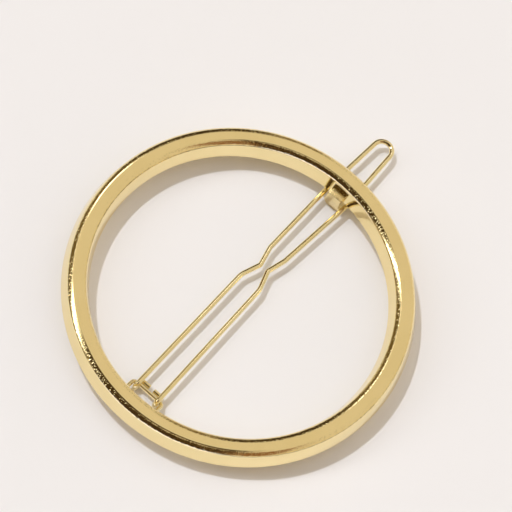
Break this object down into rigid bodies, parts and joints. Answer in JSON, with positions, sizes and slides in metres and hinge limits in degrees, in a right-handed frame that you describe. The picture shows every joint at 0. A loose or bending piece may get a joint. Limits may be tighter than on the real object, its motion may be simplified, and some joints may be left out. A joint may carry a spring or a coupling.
{
  "type": "round wire-clasp hair clip",
  "caption": "Round metal hair clip: a flat-faced open ring with a sprung hairpin-shaped wire clasp hinged behind it that snaps over a horned catch.",
  "frame": {"origin": "middle of the footprint, on the surface that the clip lies on, face up", "axes": "+X along the clasp from its hinge to its loop, +Z out of the decorative face of the ring"},
  "size_m": [0.0584, 0.05, 0.0059],
  "materials": {
    "gold_plated_casting": "polished gold-coloured plate on a die casting",
    "gold_plated_wire": "gold-coloured plate on drawn spring wire"
  },
  "bodies": {
    "ring_body": {"ring_frame": "gold_plated_casting", "hinge_staple": "gold_plated_wire", "catch_hook": "gold_plated_casting"},
    "clasp": {"clasp_wire": "gold_plated_wire"}
  },
  "joints": [
    {"name": "clasp_swing", "type": "hinge", "parent": "ring_body", "child": "clasp", "pos_m": [-0.0231, 0, 0.00117], "axis": [0, 1, 0], "range_deg": [0, 180]}
  ]
}
